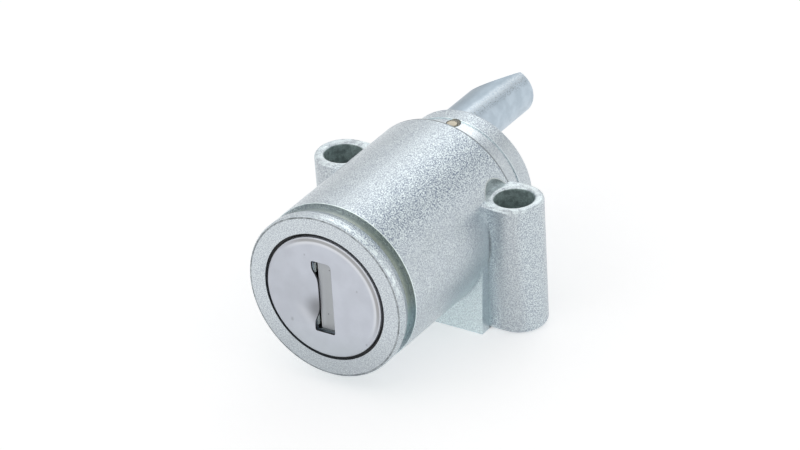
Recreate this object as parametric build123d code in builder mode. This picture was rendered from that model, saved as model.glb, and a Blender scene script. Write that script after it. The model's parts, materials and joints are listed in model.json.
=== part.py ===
from build123d import *
from math import cos, hypot, pi, radians, sin, sqrt, tan
import os

# Battery lock: a zinc housing screwed down by two bosses, a wafer plug behind a dust shutter,
# and a sprung bolt that a quarter turn of the key draws in through a helical cam.
# Millimetres. X to the right seen from the key side, Y towards the bolt, Z up along the screws.
# The origin lies on the base plane, midway between the screw holes.
# A station is a distance behind the housing's key face, along the lock axis.

# Housing: outside
BARREL_R = 11.0
BARREL_LENGTH = 27.35
FACE_EDGE_ROUND = 0.3
BARREL_REAR_ROUND = 0.25
GROOVE_START = 1.25
GROOVE_SHOULDER = 0.85
GROOVE_SHOULDER_DROP = 0.3
GROOVE_FLOOR = 1.4
GROOVE_DEPTH = 0.6
NECK_WALL = 1.03
NECK_LENGTH = 3.55
COLLAR_STEP = 0.12
COLLAR_LENGTH = 2.7
COLLAR_REAR_ROUND = 0.6
AXIS_HEIGHT = 12.8

# Housing: bosses and foot
HOLE_PITCH = 25.0
HOLE_R = 2.5
HOLE_TO_BARREL_REAR = 3.15
BOSS_TOP_R = 3.75
BOSS_ABOVE_AXIS = 4.9
BOSS_DRAFT = 0.6
BOSS_FOOT_ROUND = 0.9
BOSS_LIP_ROUND = 0.45
HOLE_LIP_ROUND = 0.4
SCALLOP_R = 3.5
FOOT_HALF_WIDTH = 10.05
FOOT_DRAFT = 3.2
FOOT_AHEAD = 5.1
FOOT_LENGTH = 8.2

# Housing: inside
BORE_R = 8.62
BORE_END_WALL = 0.95

# Clearances
RUNNING = 0.05
SLIDE_GAP = 0.3
AXIAL_GAP = 0.1

# How far a cutter runs past the surface that it opens, and how near counts as the same place
CUT_PAST = 1.0
NEAR = 0.01

# Bolt: its angle round the lock axis is seen from the key side, from the right hand side upwards
BOLT_R = 3.25
BOLT_OFFSET = 5.0
BOLT_ANGLE = 130.0
BOLT_REACH = 16.05
BOLT_TAPER_LENGTH = 6.7
BOLT_TAPER_DEPTH = 2.05
BOLT_TIP_ROUND = 0.7
SPIGOT_R = 2.2
TRAVEL = 5.0
TURN = 90.0

# Guide pin, upright, beside the bolt, and the wider mouth of its hole, drilled a little to the right
GUIDE_PIN_R = 0.7
GUIDE_PIN_TO_COLLAR = 0.75
GUIDE_PIN_FOOT = 1.2
GUIDE_PIN_SUNK = 0.05
GUIDE_MOUTH_R = 0.95
GUIDE_MOUTH_SHIFT = 0.22
GUIDE_MOUTH_DEPTH = 0.6
GUIDE_NOTCH_CLEARANCE = 0.15
PIN_DOME = 0.15

# Bolt carriage, a cup with two helical slots
CARRIAGE_WALL = 1.2
CARRIAGE_FLOOR = 2.0
SLOT_CLEARANCE = 0.1
SLOT_LIP = 1.1

# Driver hub and its pins
DRIVER_PIN_R = 1.0
DRIVER_PIN_END_GAP = 0.2
HUB_END_LIP = 0.5
HUB_FLANGE_R = 6.2
HUB_FLANGE_THICKNESS = 1.4
HUB_R = 5.2
HUB_BORE_R = 3.4
HUB_WALL = 2.5
HUB_SKIRT = 3.95
HUB_TO_FLOOR = 0.45

# Plug, cap and seal
CAP_PROUD = 0.35
RING_GAP = 0.42
CAP_WALL = 0.6
CAP_EDGE_ROUND = 0.5
CAP_SKIRT_END = 2.3
HEAD_END = 2.6
PLUG_R = 5.9
TAIL_R = 2.4
TAIL_FLAT = 1.8
TAIL_END_LIP = 0.5
KEYWAY_WIDTH = 2.75
KEYWAY_HEIGHT = 9.7
KEYWAY_BULGE = 0.93
KEYWAY_BULGE_HALF = 4.05
KEYWAY_TO_STATOR_END = 1.7
SLOT_CORNER_ROUND = 0.2
SLOT_WIDE_CORNER_ROUND = 0.5
SEAL_FRONT = 0.5
SEAL_CLEARANCE = 0.1

# Stator
STATOR_START = 2.9
STATOR_TO_CARRIAGE = 0.2
STATOR_NECK_WALL = 0.5
STATOR_FIT = 0.05

# Circlip
CLIP_THICKNESS = 0.5
CLIP_INNER_R = 2.0
CLIP_R = 3.2
CLIP_GAP_ANGLE = 70.0

# Retaining pin of the stator, from below
CORE_PIN_R = 1.0
CORE_PIN_TO_STATOR_STEP = 3.05
CORE_PIN_BITE = 1.3
CORE_PIN_SUNK = 0.15

# Wafers and their springs
WAFER_COUNT = 5
WAFER_FIRST = 4.5
WAFER_PITCH = 1.1
WAFER_THICKNESS = 0.8
WAFER_HALF_WIDTH = 3.2
WAFER_WINDOW_WIDTH = 3.0
WAFER_WINDOW_HEIGHT = 9.8
WAFER_LIFT = 0.7
EAR_LENGTH = 1.5
EAR_LOW = 0.2
EAR_HEIGHT = 1.0
WAFER_SPRING_LENGTH = 3.4
WAFER_SPRING_R = 0.3
WAFER_SPRING_WIRE = 0.16
WAFER_SPRING_TURNS = 4

# Dust shutter
SHUTTER_THICKNESS = 0.5
SHUTTER_TO_CAP = 0.15
SHUTTER_EDGE_X = -1.0
SHUTTER_EDGE_ROUND = 0.2
SHUTTER_HALF_HEIGHT = 4.7
SHUTTER_SWING = 75.0
KNUCKLE_R = 0.45
HINGE_X = 1.95
HINGE_PIN_R = 0.25
HINGE_PIN_HALF = 5.6
SHUTTER_POCKET_GAP = 0.15
SHUTTER_SPRING_WIRE = 0.16
SHUTTER_SPRING_TURNS = 5
SHUTTER_SPRING_PITCH = 0.6

# Bolt spring
SPRING_WIRE = 0.5
SPRING_R = 2.85
SPRING_TURNS = 5

# Stations and places that follow from the sizes above
NECK_R = BOLT_OFFSET + BOLT_R + NECK_WALL
NECK_END = BARREL_LENGTH + NECK_LENGTH
COLLAR_R = NECK_R + COLLAR_STEP
REAR_END = NECK_END + COLLAR_LENGTH
HOLE_STATION = BARREL_LENGTH - HOLE_TO_BARREL_REAR
BOSS_HEIGHT = AXIS_HEIGHT + BOSS_ABOVE_AXIS
FOOT_FRONT = HOLE_STATION - FOOT_AHEAD
BORE_DEPTH = BARREL_LENGTH - BORE_END_WALL
BOLT_CENTRE = (BOLT_OFFSET * cos(radians(BOLT_ANGLE)), BOLT_OFFSET * sin(radians(BOLT_ANGLE)))
BOLT_TIP = REAR_END + BOLT_REACH
GUIDE_PIN_STATION = NECK_END - GUIDE_PIN_TO_COLLAR
CARRIAGE_R = BORE_R - SLIDE_GAP
CARRIAGE_REAR = BORE_DEPTH - AXIAL_GAP
FLOOR_FRONT = CARRIAGE_REAR - CARRIAGE_FLOOR
HUB_END = FLOOR_FRONT - TRAVEL - HUB_TO_FLOOR
DRIVER_PIN_STATION = HUB_END - HUB_END_LIP - DRIVER_PIN_R
SLOT_HALF = DRIVER_PIN_R + SLOT_CLEARANCE
CARRIAGE_FRONT = DRIVER_PIN_STATION - SLOT_HALF - SLOT_LIP
CLIP_START = HUB_END - HUB_SKIRT
HUB_START = CLIP_START - HUB_WALL
STATOR_END = HUB_START - AXIAL_GAP
STATOR_FULL_END = CARRIAGE_FRONT - TRAVEL - STATOR_TO_CARRIAGE
STATOR_NECK_R = PLUG_R + RUNNING + STATOR_NECK_WALL
CORE_PIN_STATION = STATOR_FULL_END - CORE_PIN_TO_STATOR_STEP
KEYWAY_END = STATOR_END - KEYWAY_TO_STATOR_END
CAP_R = BORE_R - RING_GAP
TAIL_END = CLIP_START + CLIP_THICKNESS + TAIL_END_LIP
CAP_BACK = CAP_WALL - CAP_PROUD
CAP_INNER_R = CAP_R - CAP_WALL
HEAD_START = CAP_BACK
WAFER_STATIONS = [WAFER_FIRST + n * WAFER_PITCH for n in range(WAFER_COUNT)]
WAFER_R = PLUG_R - RUNNING
CHANNEL_HALF = WAFER_HALF_WIDTH + 4 * RUNNING
CHANNEL_R = WAFER_R + WAFER_LIFT + SLIDE_GAP
CHANNEL_END = WAFER_STATIONS[-1] + WAFER_THICKNESS
SHUTTER_FRONT = CAP_BACK + SHUTTER_TO_CAP
HINGE_STATION = SHUTTER_FRONT + KNUCKLE_R
EAR_TIP = WAFER_HALF_WIDTH + EAR_LENGTH
GUIDE_TOP = NECK_R - GUIDE_PIN_SUNK

LOCK_AXIS = Axis(origin=(0, -HOLE_STATION, AXIS_HEIGHT), direction=(0, 1, 0))
HALF_SECTION = Plane(origin=(0, -HOLE_STATION, AXIS_HEIGHT), x_dir=(0, 1, 0), z_dir=(1, 0, 0))


def across(station):
    """Plane square to the lock axis, seen from the key side. A minus amount extrudes to the rear."""
    origin = (0, station - HOLE_STATION, AXIS_HEIGHT)
    return Plane(origin=origin, x_dir=(1, 0, 0), z_dir=(0, -1, 0))


def level(height):
    """Plane parallel to the base, this far above the lock axis, with its Y origin at the key face."""
    return Plane(origin=(0, -HOLE_STATION, AXIS_HEIGHT + height), x_dir=(1, 0, 0), z_dir=(0, 0, 1))


def band(start, end, inner, outer):
    """Corners of a ring's half section between two stations and two radii."""
    return [(start, inner), (end, inner), (end, outer), (start, outer)]


def corner(sketch, across_x, across_y):
    """The sketch's corner nearest to this point of its own plane."""
    return sketch.vertices().sort_by_distance((across_x, across_y, 0))[0]


def coil_arcs(plane, radius, pitch, turns):
    """Arcs of a helix along the plane's normal: two to each half turn, as (start, end, tangent)."""
    rise = pitch / (2 * pi)
    speed = hypot(radius, rise)
    arcs = []
    for step in range(int(2 * turns)):
        ends = []
        for angle in (step * pi, (step + 1) * pi):
            point = Vector(radius * cos(angle), radius * sin(angle), rise * angle)
            tangent = Vector(-radius * sin(angle), radius * cos(angle), rise) * (1 / speed)
            ends.append((point, tangent))
        (p0, t0), (p1, t1) = ends
        chord = p1 - p0
        both = chord.dot(t0 + t1)
        bend = 1 - t0.dot(t1)
        reach = (sqrt(both ** 2 + 2 * bend * chord.dot(chord)) - both) / (2 * bend)
        middle = (p0 + t0 * reach + p1 - t1 * reach) * 0.5
        turn = (p1 - t1 * reach - p0 - t0 * reach).normalized()
        arcs.append((p0, middle, t0))
        arcs.append((middle, p1, turn))
    placed = []
    for start, end, tangent in arcs:
        world_tangent = plane.from_local_coords(tangent) - plane.origin
        placed.append((plane.from_local_coords(start), plane.from_local_coords(end), world_tangent))
    return placed


def least_gap(radius, pitch, turns, wire):
    """Least distance between the surfaces of neighbouring turns, measured on points of the helix."""
    steps = 48
    points = [
        Vector(radius * cos(2 * pi * n / steps), radius * sin(2 * pi * n / steps), pitch * n / steps)
        for n in range(int(turns * steps) + 1)
    ]
    pairs = [
        (points[a] - points[b]).length
        for a in range(len(points))
        for b in range(a + steps // 2, min(len(points), a + 2 * steps))
    ]
    return min(pairs) - wire


def save(part, name):
    """Label the piece and write it under its own name."""
    part.label = name
    export_step(part, f"parts/{name}.step")


os.makedirs("parts", exist_ok=True)

# Housing: one zinc casting with the bosses, the foot, the barrel and the stepped rear.
with BuildPart() as housing:
    with BuildSketch(Plane.XY.offset(BOSS_HEIGHT)):
        SlotCenterToCenter(HOLE_PITCH, 2 * BOSS_TOP_R)
    extrude(amount=-BOSS_HEIGHT, taper=BOSS_DRAFT)
    fillet(housing.edges().group_by(Axis.Z)[0], BOSS_FOOT_ROUND)
    fillet(housing.edges().group_by(Axis.Z)[-1], BOSS_LIP_ROUND)
    foot_side = AXIS_HEIGHT * tan(radians(FOOT_DRAFT))
    with BuildSketch(Plane.XZ.offset(HOLE_STATION - FOOT_FRONT)):
        Polygon(
            (-FOOT_HALF_WIDTH, 0),
            (FOOT_HALF_WIDTH, 0),
            (FOOT_HALF_WIDTH + foot_side, AXIS_HEIGHT),
            (-FOOT_HALF_WIDTH - foot_side, AXIS_HEIGHT),
            align=None,
        )
    extrude(amount=-FOOT_LENGTH)
    with BuildSketch(HALF_SECTION) as barrel_section:
        Polygon(
            (0, 0),
            (REAR_END, 0),
            (REAR_END, COLLAR_R),
            (NECK_END, COLLAR_R),
            (NECK_END, NECK_R),
            (BARREL_LENGTH, NECK_R),
            (BARREL_LENGTH, BARREL_R),
            (0, BARREL_R),
            align=None,
        )
        fillet(corner(barrel_section, 0, BARREL_R), FACE_EDGE_ROUND)
        fillet(corner(barrel_section, BARREL_LENGTH, BARREL_R), BARREL_REAR_ROUND)
        fillet(corner(barrel_section, REAR_END, COLLAR_R), COLLAR_REAR_ROUND)
    revolve(axis=LOCK_AXIS)
    # The groove: a sloping shoulder behind the nose, then a flat floor with a square rear wall.
    floor_start = GROOVE_START + GROOVE_SHOULDER
    groove_end = floor_start + GROOVE_FLOOR
    with BuildSketch(HALF_SECTION):
        Polygon(
            (GROOVE_START, BARREL_R + CUT_PAST),
            (GROOVE_START, BARREL_R),
            (floor_start, BARREL_R - GROOVE_SHOULDER_DROP),
            (floor_start, BARREL_R - GROOVE_DEPTH),
            (groove_end, BARREL_R - GROOVE_DEPTH),
            (groove_end, BARREL_R + CUT_PAST),
            align=None,
        )
    revolve(axis=LOCK_AXIS, mode=Mode.SUBTRACT)
    with BuildSketch(Plane.XY.offset(BOSS_HEIGHT)):
        with GridLocations(HOLE_PITCH, 0, 2, 1):
            Circle(SCALLOP_R)
    extrude(amount=AXIS_HEIGHT, mode=Mode.SUBTRACT)
    with BuildSketch(Plane.XY):
        with GridLocations(HOLE_PITCH, 0, 2, 1):
            Circle(HOLE_R)
    extrude(amount=BOSS_HEIGHT, mode=Mode.SUBTRACT)
    mouths = housing.edges().filter_by(GeomType.CIRCLE).filter_by_position(
        Axis.Z, BOSS_HEIGHT - NEAR, BOSS_HEIGHT + NEAR
    )
    fillet([edge for edge in mouths if abs(edge.radius - HOLE_R) < NEAR], HOLE_LIP_ROUND)
    with BuildSketch(across(0)):
        Circle(BORE_R)
    extrude(amount=-BORE_DEPTH, mode=Mode.SUBTRACT)
    with BuildSketch(across(BORE_DEPTH)):
        with Locations(BOLT_CENTRE):
            Circle(BOLT_R + RUNNING)
    extrude(amount=-(REAR_END - BORE_DEPTH), mode=Mode.SUBTRACT)
    with BuildSketch(level(GUIDE_PIN_FOOT)):
        with Locations((0, GUIDE_PIN_STATION)):
            Circle(GUIDE_PIN_R + RUNNING)
    extrude(amount=NECK_R, mode=Mode.SUBTRACT)
    with BuildSketch(level(NECK_R - GUIDE_MOUTH_DEPTH)):
        with Locations((GUIDE_MOUTH_SHIFT, GUIDE_PIN_STATION)):
            Circle(GUIDE_MOUTH_R)
    extrude(amount=GUIDE_MOUTH_DEPTH + CUT_PAST, mode=Mode.SUBTRACT)
    with BuildSketch(level(-BARREL_R - CUT_PAST)):
        with Locations((0, CORE_PIN_STATION)):
            Circle(CORE_PIN_R)
    extrude(amount=BARREL_R - BORE_R + 2 * CUT_PAST, mode=Mode.SUBTRACT)
save(housing.part, "housing")

# Face seal: the black ring in the gap round the cap.
with BuildPart() as face_seal:
    with BuildSketch(HALF_SECTION):
        Polygon(*band(SEAL_FRONT, STATOR_START, CAP_R + SEAL_CLEARANCE, BORE_R), align=None)
    revolve(axis=LOCK_AXIS)
save(face_seal.part, "face_seal")

# Stator: the fixed sleeve, with channels for the wafers at both ends of the quarter turn.
with BuildPart() as stator:
    with BuildSketch(HALF_SECTION):
        Polygon(
            (STATOR_START, PLUG_R + RUNNING),
            (STATOR_END, PLUG_R + RUNNING),
            (STATOR_END, STATOR_NECK_R),
            (STATOR_FULL_END, STATOR_NECK_R),
            (STATOR_FULL_END, BORE_R - STATOR_FIT),
            (STATOR_START, BORE_R - STATOR_FIT),
            align=None,
        )
    revolve(axis=LOCK_AXIS)
    with BuildSketch(across(STATOR_START)):
        Rectangle(2 * CHANNEL_HALF, 2 * CHANNEL_R)
        Rectangle(2 * CHANNEL_R, 2 * CHANNEL_HALF)
    extrude(amount=-(CHANNEL_END - STATOR_START), mode=Mode.SUBTRACT)
    with BuildSketch(level(-BORE_R)):
        with Locations((0, CORE_PIN_STATION)):
            Circle(CORE_PIN_R)
    extrude(amount=CORE_PIN_BITE, mode=Mode.SUBTRACT)
save(stator.part, "stator")

# Core pin: holds the stator in the housing, from below.
with BuildPart() as core_pin:
    with BuildSketch(level(-BARREL_R + CORE_PIN_SUNK)):
        with Locations((0, CORE_PIN_STATION)):
            Circle(CORE_PIN_R)
    extrude(amount=BARREL_R - CORE_PIN_SUNK - BORE_R + CORE_PIN_BITE)
save(core_pin.part, "core_pin")

# Guide pin: the brass pin that shows on top of the neck and runs in the bolt's notch.
with BuildPart() as guide_pin:
    with BuildSketch(level(GUIDE_PIN_FOOT)):
        with Locations((0, GUIDE_PIN_STATION)):
            Circle(GUIDE_PIN_R)
    extrude(amount=GUIDE_TOP - GUIDE_PIN_FOOT)
    fillet(guide_pin.edges().group_by(Axis.Z)[-1], PIN_DOME)
save(guide_pin.part, "guide_pin")

# Plug: head, body with keyway and wafer slots, and a tail with two flats.
with BuildPart() as key_plug:
    with BuildSketch(HALF_SECTION):
        Polygon(
            (HEAD_START, 0),
            (TAIL_END, 0),
            (TAIL_END, TAIL_R),
            (HUB_START, TAIL_R),
            (HUB_START, PLUG_R),
            (HEAD_END, PLUG_R),
            (HEAD_END, CAP_INNER_R),
            (HEAD_START, CAP_INNER_R),
            align=None,
        )
    revolve(axis=LOCK_AXIS)
    with BuildSketch(across(HUB_START)):
        with Locations((TAIL_FLAT + TAIL_R / 2, 0), (-TAIL_FLAT - TAIL_R / 2, 0)):
            Rectangle(TAIL_R, 2 * TAIL_R)
    extrude(amount=-(TAIL_END - HUB_START), mode=Mode.SUBTRACT)
    with BuildSketch(HALF_SECTION):
        Polygon(*band(CLIP_START, CLIP_START + CLIP_THICKNESS, CLIP_INNER_R, TAIL_R + CUT_PAST), align=None)
    revolve(axis=LOCK_AXIS, mode=Mode.SUBTRACT)
    with BuildSketch(across(HEAD_START)):
        Rectangle(KEYWAY_WIDTH, KEYWAY_HEIGHT)
    extrude(amount=-(KEYWAY_END - HEAD_START), mode=Mode.SUBTRACT)
    # Pocket for the shutter, shut, and beside the keyway for the shutter swung in.
    pocket_half = SHUTTER_HALF_HEIGHT + SHUTTER_POCKET_GAP
    pocket_right = HINGE_X + KNUCKLE_R + SHUTTER_POCKET_GAP
    pocket_left = SHUTTER_EDGE_X - SHUTTER_POCKET_GAP
    flap_length = HINGE_X - SHUTTER_EDGE_X
    pocket_depth = HINGE_STATION + flap_length
    with BuildSketch(across(HEAD_START)):
        with Locations(((pocket_left + pocket_right) / 2, 0)):
            Rectangle(pocket_right - pocket_left, 2 * pocket_half)
    extrude(amount=-(HINGE_STATION + KNUCKLE_R + SHUTTER_POCKET_GAP - HEAD_START), mode=Mode.SUBTRACT)
    with BuildSketch(across(HEAD_START)):
        with Locations((pocket_right / 2, 0)):
            Rectangle(pocket_right, 2 * pocket_half)
    extrude(amount=-(pocket_depth - HEAD_START), mode=Mode.SUBTRACT)
    with BuildSketch(level(-HINGE_PIN_HALF)):
        with Locations((HINGE_X, HINGE_STATION)):
            Circle(HINGE_PIN_R)
    extrude(amount=2 * HINGE_PIN_HALF, mode=Mode.SUBTRACT)
    for station in WAFER_STATIONS:
        slot_start = station - WAFER_THICKNESS / 2 - RUNNING
        slot_length = WAFER_THICKNESS + 2 * RUNNING
        with BuildSketch(across(slot_start)):
            Rectangle(2 * (WAFER_HALF_WIDTH + RUNNING), 2 * CAP_R)
            pocket_low = EAR_LOW - WAFER_SPRING_LENGTH
            pocket_high = EAR_LOW + EAR_HEIGHT + WAFER_LIFT + RUNNING
            with Locations((EAR_TIP / 2 + RUNNING, (pocket_low + pocket_high) / 2)):
                Rectangle(EAR_TIP, pocket_high - pocket_low)
        extrude(amount=-slot_length, mode=Mode.SUBTRACT)
save(key_plug.part, "key_plug")

# Cap: the drawn steel cover over the plug's head, with the waisted key slot.
with BuildPart() as plug_cap:
    with BuildSketch(HALF_SECTION):
        Polygon(
            (-CAP_PROUD, 0),
            (CAP_BACK, 0),
            (CAP_BACK, CAP_INNER_R),
            (CAP_SKIRT_END, CAP_INNER_R),
            (CAP_SKIRT_END, CAP_R),
            (-CAP_PROUD, CAP_R),
            align=None,
        )
    revolve(axis=LOCK_AXIS)
    fillet(plug_cap.edges().group_by(Axis.Y)[0], CAP_EDGE_ROUND)
    with BuildSketch(across(-CAP_PROUD)) as slot_outline:
        half_width = KEYWAY_WIDTH / 2
        half_height = KEYWAY_HEIGHT / 2
        with BuildLine():
            Polyline(
                (-half_width, -KEYWAY_BULGE_HALF),
                (-half_width, -half_height),
                (half_width, -half_height),
                (half_width, half_height),
                (-half_width, half_height),
                (-half_width, KEYWAY_BULGE_HALF),
            )
            ThreePointArc(
                (-half_width, KEYWAY_BULGE_HALF),
                (-half_width + KEYWAY_BULGE, 0),
                (-half_width, -KEYWAY_BULGE_HALF),
            )
        make_face()
        fillet(corner(slot_outline, half_width, half_height), SLOT_WIDE_CORNER_ROUND)
        for side, end in ((1, -1), (-1, 1), (-1, -1)):
            fillet(corner(slot_outline, side * half_width, end * half_height), SLOT_CORNER_ROUND)
    extrude(amount=-CAP_WALL, mode=Mode.SUBTRACT)
save(plug_cap.part, "plug_cap")

# Dust shutter: a flap on an upright pin at the right of the slot, with a gap for its spring.
spring_room = (SHUTTER_SPRING_TURNS * SHUTTER_SPRING_PITCH + 2 * SHUTTER_SPRING_WIRE) / 2
with BuildPart() as shutter:
    with BuildSketch(level(-SHUTTER_HALF_HEIGHT)):
        flap_width = HINGE_X - SHUTTER_EDGE_X
        with Locations((SHUTTER_EDGE_X + flap_width / 2, SHUTTER_FRONT + SHUTTER_THICKNESS / 2)):
            Rectangle(flap_width, SHUTTER_THICKNESS)
        with Locations((HINGE_X, HINGE_STATION)):
            Circle(KNUCKLE_R)
    extrude(amount=2 * SHUTTER_HALF_HEIGHT)
    fillet(shutter.edges().filter_by(Axis.Z).group_by(Axis.X)[0], SHUTTER_EDGE_ROUND)
    with BuildSketch(level(-SHUTTER_HALF_HEIGHT)):
        with Locations((HINGE_X, HINGE_STATION)):
            Circle(HINGE_PIN_R + RUNNING)
    extrude(amount=2 * SHUTTER_HALF_HEIGHT, mode=Mode.SUBTRACT)
    with BuildSketch(level(-spring_room)):
        with Locations((HINGE_X, HINGE_STATION)):
            Rectangle(4 * KNUCKLE_R, 4 * KNUCKLE_R)
    extrude(amount=2 * spring_room, mode=Mode.SUBTRACT)
save(shutter.part, "shutter")

# Shutter pin
with BuildPart() as shutter_pin:
    with BuildSketch(level(-HINGE_PIN_HALF)):
        with Locations((HINGE_X, HINGE_STATION)):
            Circle(HINGE_PIN_R)
    extrude(amount=2 * HINGE_PIN_HALF)
save(shutter_pin.part, "shutter_pin")

# Shutter spring: a torsion coil round the pin.
shutter_coil_r = HINGE_PIN_R + RUNNING + SHUTTER_SPRING_WIRE / 2
shutter_coil_base = Plane(
    origin=(
        HINGE_X,
        HINGE_STATION - HOLE_STATION,
        AXIS_HEIGHT - SHUTTER_SPRING_TURNS * SHUTTER_SPRING_PITCH / 2,
    ),
    x_dir=(1, 0, 0),
    z_dir=(0, 0, 1),
)
with BuildPart() as shutter_spring:
    with BuildLine() as shutter_coil:
        for start, end, tangent in coil_arcs(
            shutter_coil_base, shutter_coil_r, SHUTTER_SPRING_PITCH, SHUTTER_SPRING_TURNS
        ):
            TangentArc(start, end, tangent=tangent)
    with BuildSketch(Plane(origin=shutter_coil.line @ 0, z_dir=shutter_coil.line % 0)):
        Circle(SHUTTER_SPRING_WIRE / 2)
    sweep(path=shutter_coil.wires()[0])
save(shutter_spring.part, "shutter_spring")

# Wafers and their springs, one pair to each slot of the plug.
for number, station in enumerate(WAFER_STATIONS, start=1):
    with BuildPart() as wafer:
        with BuildSketch(across(station - WAFER_THICKNESS / 2)):
            Circle(WAFER_R)
            Rectangle(2 * WAFER_HALF_WIDTH, 2 * WAFER_R, mode=Mode.INTERSECT)
            with Locations((WAFER_HALF_WIDTH + EAR_LENGTH / 2, EAR_LOW + EAR_HEIGHT / 2)):
                Rectangle(EAR_LENGTH, EAR_HEIGHT)
            Rectangle(WAFER_WINDOW_WIDTH, WAFER_WINDOW_HEIGHT, mode=Mode.SUBTRACT)
        extrude(amount=-WAFER_THICKNESS)
    save(wafer.part, f"wafer_{number}")

    coil_height = WAFER_SPRING_LENGTH - WAFER_SPRING_WIRE
    wafer_coil_base = Plane(
        origin=(
            WAFER_HALF_WIDTH + EAR_LENGTH / 2,
            station - HOLE_STATION,
            AXIS_HEIGHT + EAR_LOW - WAFER_SPRING_LENGTH + WAFER_SPRING_WIRE / 2,
        ),
        x_dir=(1, 0, 0),
        z_dir=(0, 0, 1),
    )
    with BuildPart() as wafer_spring:
        with BuildLine() as wafer_coil:
            for start, end, tangent in coil_arcs(
                wafer_coil_base, WAFER_SPRING_R, coil_height / WAFER_SPRING_TURNS, WAFER_SPRING_TURNS
            ):
                TangentArc(start, end, tangent=tangent)
        with BuildSketch(Plane(origin=wafer_coil.line @ 0, z_dir=wafer_coil.line % 0)):
            Circle(WAFER_SPRING_WIRE / 2)
        sweep(path=wafer_coil.wires()[0])
    save(wafer_spring.part, f"wafer_spring_{number}")

# Driver hub: a flanged tube keyed on the plug's tail, drilled for the two driver pins.
with BuildPart() as driver_hub:
    with BuildSketch(HALF_SECTION):
        Polygon(
            (HUB_START, 0),
            (CLIP_START, 0),
            (CLIP_START, HUB_BORE_R),
            (HUB_END, HUB_BORE_R),
            (HUB_END, HUB_R),
            (HUB_START + HUB_FLANGE_THICKNESS, HUB_R),
            (HUB_START + HUB_FLANGE_THICKNESS, HUB_FLANGE_R),
            (HUB_START, HUB_FLANGE_R),
            align=None,
        )
    revolve(axis=LOCK_AXIS)
    with BuildSketch(across(HUB_START)):
        Circle(TAIL_R)
        Rectangle(2 * TAIL_FLAT, 2 * TAIL_R, mode=Mode.INTERSECT)
    extrude(amount=-HUB_WALL, mode=Mode.SUBTRACT)
    with BuildSketch(Plane.YZ.offset(-HUB_FLANGE_R)):
        with Locations((DRIVER_PIN_STATION - HOLE_STATION, AXIS_HEIGHT)):
            Circle(DRIVER_PIN_R)
    extrude(amount=2 * HUB_FLANGE_R, mode=Mode.SUBTRACT)
save(driver_hub.part, "driver_hub")

# Driver pins: two, pressed into the hub, reaching through the carriage's slots.
pin_start = HUB_BORE_R + DRIVER_PIN_END_GAP
pin_end = CARRIAGE_R - DRIVER_PIN_END_GAP
with BuildPart() as driver_pins:
    for side in (-1, 1):
        with BuildSketch(Plane.YZ.offset(side * pin_start)):
            with Locations((DRIVER_PIN_STATION - HOLE_STATION, AXIS_HEIGHT)):
                Circle(DRIVER_PIN_R)
        extrude(amount=side * (pin_end - pin_start))
save(driver_pins.part, "driver_pins")

# Circlip on the plug's tail, behind the hub's wall.
with BuildPart() as plug_circlip:
    with BuildSketch(across(CLIP_START)):
        Circle(CLIP_R)
        Circle(CLIP_INNER_R, mode=Mode.SUBTRACT)
        gap_reach = 2 * CLIP_R
        gap_half = radians(CLIP_GAP_ANGLE / 2)
        Polygon(
            (0, 0),
            (gap_reach * cos(gap_half), gap_reach * sin(gap_half)),
            (gap_reach * cos(gap_half), -gap_reach * sin(gap_half)),
            align=None,
            mode=Mode.SUBTRACT,
        )
    extrude(amount=-CLIP_THICKNESS)
save(plug_circlip.part, "plug_circlip")

# Slot cutters: the path of one driver pin through the carriage's wall, a helix with rounded ends.
# Here Z is the lock axis to the rear and X the side that the pin starts from. The slot climbs by
# the bolt's travel over the key's turn, clockwise seen from the key side.
slot_r = CARRIAGE_R - CARRIAGE_WALL / 2
with BuildPart() as slot_run:
    with BuildLine() as slot_line:
        Helix(pitch=TRAVEL * 360 / TURN, height=TRAVEL, radius=slot_r)
    with BuildSketch(Plane(origin=slot_line.line @ 0, x_dir=(1, 0, 0), z_dir=slot_line.line % 0)):
        Rectangle(2 * CARRIAGE_WALL, 2 * SLOT_HALF)
    sweep(path=slot_line.wires()[0], is_frenet=True)
with BuildPart() as slot_ends:
    for angle, height in ((0, 0), (radians(TURN), TRAVEL)):
        outward = Vector(cos(angle), sin(angle), 0)
        foot = outward * (slot_r - CARRIAGE_WALL) + Vector(0, 0, height)
        with BuildSketch(Plane(origin=foot, z_dir=outward)):
            Circle(SLOT_HALF)
        extrude(amount=2 * CARRIAGE_WALL)

# Bolt carriage: a cup that can't turn, with a helical slot for each driver pin.
with BuildPart() as bolt_carriage:
    with BuildSketch(HALF_SECTION):
        Polygon(
            (FLOOR_FRONT, 0),
            (CARRIAGE_REAR, 0),
            (CARRIAGE_REAR, CARRIAGE_R),
            (CARRIAGE_FRONT, CARRIAGE_R),
            (CARRIAGE_FRONT, CARRIAGE_R - CARRIAGE_WALL),
            (FLOOR_FRONT, CARRIAGE_R - CARRIAGE_WALL),
            align=None,
        )
    revolve(axis=LOCK_AXIS)
    with BuildSketch(across(FLOOR_FRONT)):
        with Locations(BOLT_CENTRE):
            Circle(SPIGOT_R)
    extrude(amount=-CARRIAGE_FLOOR, mode=Mode.SUBTRACT)
    for side in (1, -1):
        pin_place = Plane(
            origin=(0, DRIVER_PIN_STATION - HOLE_STATION, AXIS_HEIGHT),
            x_dir=(side, 0, 0),
            z_dir=(0, 1, 0),
        )
        with Locations(pin_place.location):
            add(slot_run.part, mode=Mode.SUBTRACT)
            add(slot_ends.part, mode=Mode.SUBTRACT)
save(bolt_carriage.part, "bolt_carriage")

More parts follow.
